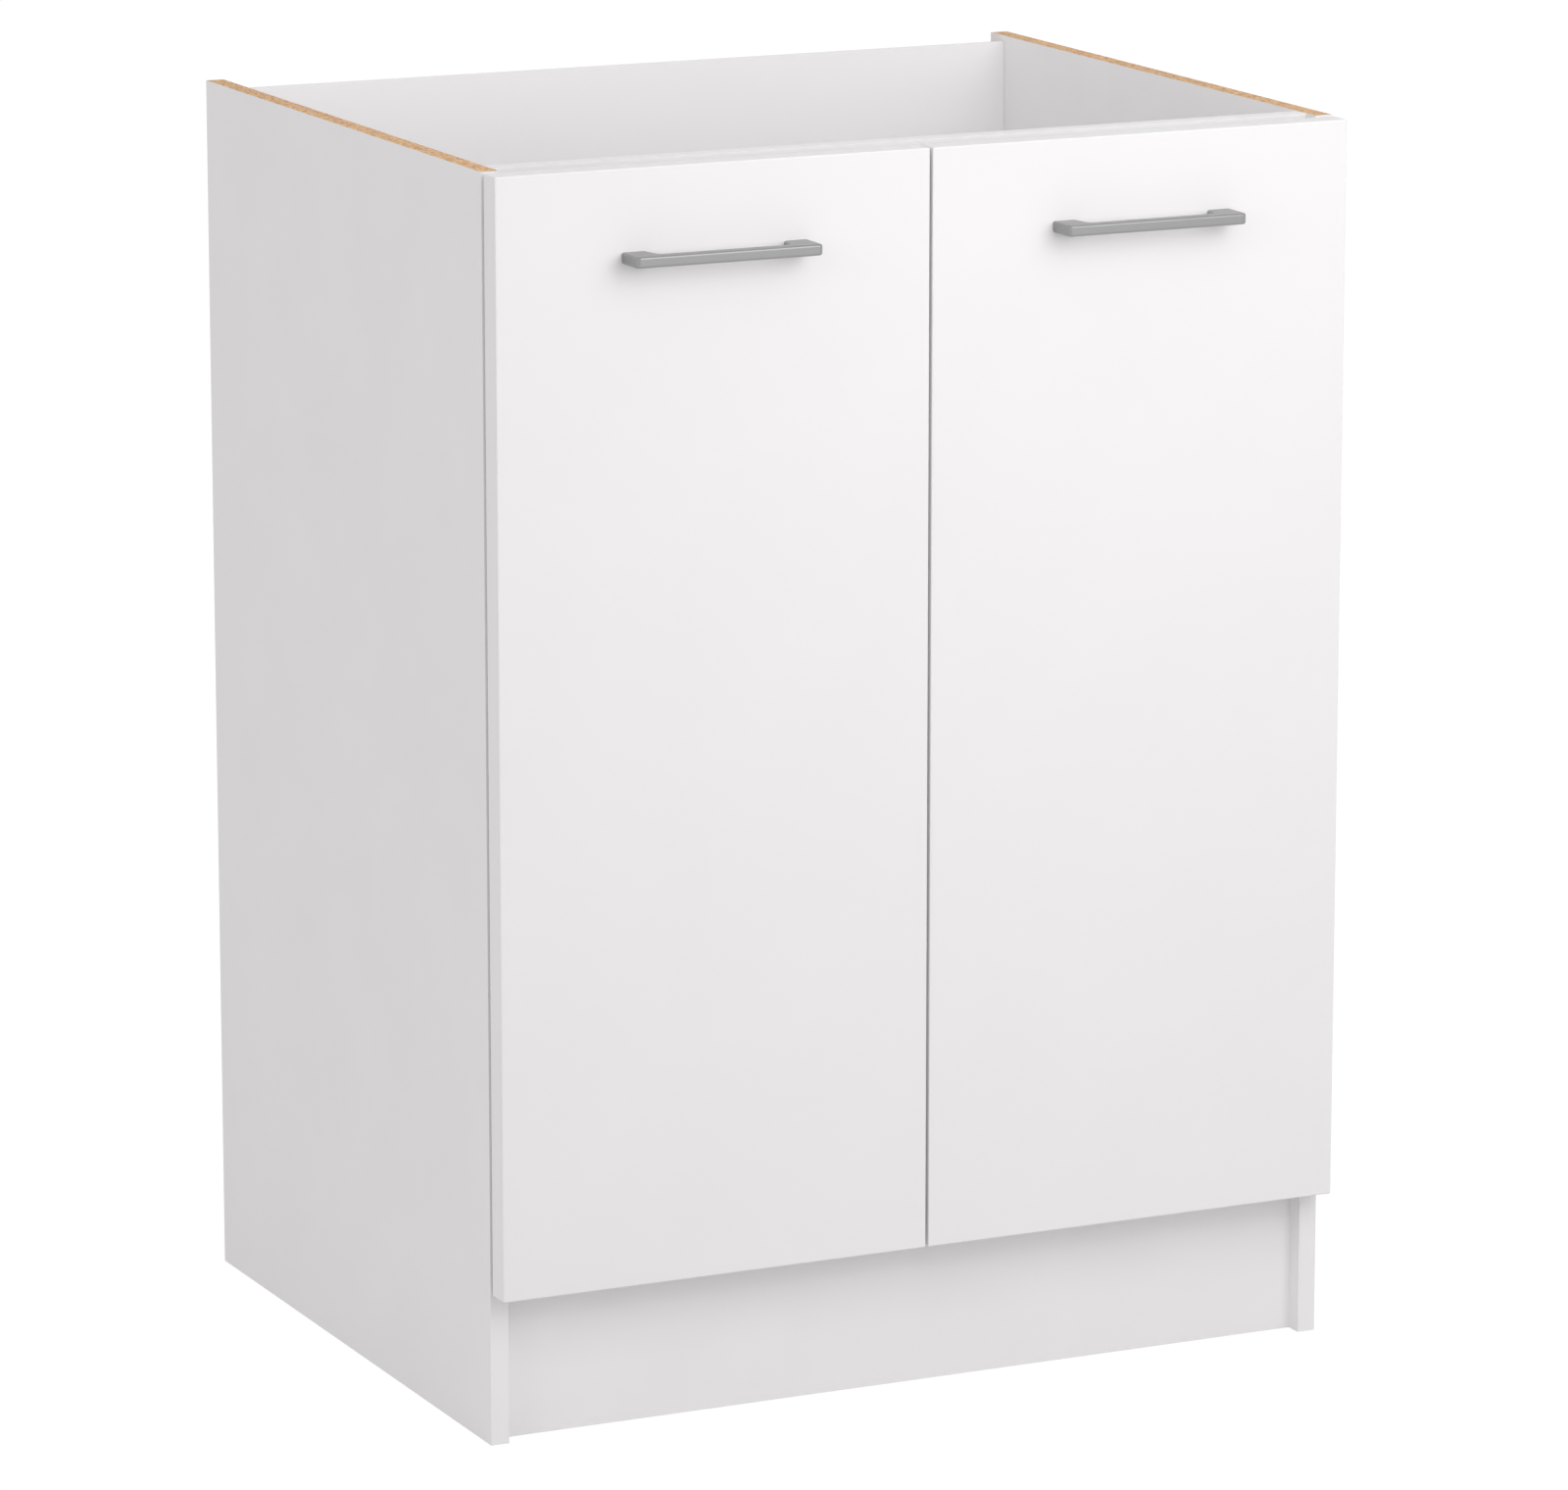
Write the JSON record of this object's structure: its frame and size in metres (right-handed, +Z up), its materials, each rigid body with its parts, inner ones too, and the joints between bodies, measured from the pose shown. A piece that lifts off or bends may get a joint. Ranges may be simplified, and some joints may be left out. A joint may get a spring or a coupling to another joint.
{
  "type": "kitchen base cabinet",
  "caption": "White flat-pack kitchen base cabinet with an open top for a worktop, hinged full-overlay doors with bow handles, an inner shelf and a recessed plinth.",
  "frame": {"origin": "on the floor, under the middle of the whole outline, handles included", "axes": "+X to the right of someone facing the doors, +Y to the back, +Z up"},
  "size_m": [0.6, 0.5106, 0.82],
  "materials": {
    "white_melamine_board": "satin melamine on chipboard",
    "white_door_board": "smooth satin",
    "white_hardboard": "painted, satin",
    "satin_handle_metal": "satin",
    "nickel_plated_steel": "bright plated",
    "zinc_plated_steel": "plated",
    "die_cast_zinc": "cast, matt",
    "beech": "turned and fluted",
    "clear_bumper": "clear soft plastic"
  },
  "bodies": {
    "cabinet": {"left_side_panel": "white_melamine_board", "right_side_panel": "white_melamine_board", "bottom_panel": "white_melamine_board", "plinth": "white_melamine_board", "front_rail": "white_melamine_board", "shelf": "white_melamine_board", "back_panel": "white_hardboard", "back_panel_screws": "zinc_plated_steel", "shelf_pins": "nickel_plated_steel", "cam_locks": "die_cast_zinc", "cam_bolts": "zinc_plated_steel", "wooden_dowels": "beech", "left_upper_hinge_arm": "nickel_plated_steel", "left_lower_hinge_arm": "nickel_plated_steel", "left_upper_mounting_plate": "die_cast_zinc", "left_lower_mounting_plate": "die_cast_zinc", "left_mounting_plate_screws": "zinc_plated_steel", "left_hinge_arm_screws": "zinc_plated_steel", "right_upper_hinge_arm": "nickel_plated_steel", "right_lower_hinge_arm": "nickel_plated_steel", "right_upper_mounting_plate": "die_cast_zinc", "right_lower_mounting_plate": "die_cast_zinc", "right_mounting_plate_screws": "zinc_plated_steel", "right_hinge_arm_screws": "zinc_plated_steel"},
    "left_door_leaf": {"left_door": "white_door_board", "left_handle": "satin_handle_metal", "left_handle_screws": "zinc_plated_steel", "left_door_bumpers": "clear_bumper", "left_upper_hinge_cup": "nickel_plated_steel", "left_lower_hinge_cup": "nickel_plated_steel", "left_hinge_pins": "nickel_plated_steel", "left_hinge_cup_screws": "zinc_plated_steel"},
    "right_door_leaf": {"right_door": "white_door_board", "right_handle": "satin_handle_metal", "right_handle_screws": "zinc_plated_steel", "right_door_bumpers": "clear_bumper", "right_upper_hinge_cup": "nickel_plated_steel", "right_lower_hinge_cup": "nickel_plated_steel", "right_hinge_pins": "nickel_plated_steel", "right_hinge_cup_screws": "zinc_plated_steel"}
  },
  "joints": [
    {"name": "left_door_hinge", "type": "hinge", "parent": "cabinet", "child": "left_door_leaf", "pos_m": [-0.29201, -0.225, 0.46], "axis": [0, 0, -1], "range_deg": [0, 95]},
    {"name": "right_door_hinge", "type": "hinge", "parent": "cabinet", "child": "right_door_leaf", "pos_m": [0.29201, -0.225, 0.46], "axis": [0, 0, 1], "range_deg": [0, 95]}
  ]
}
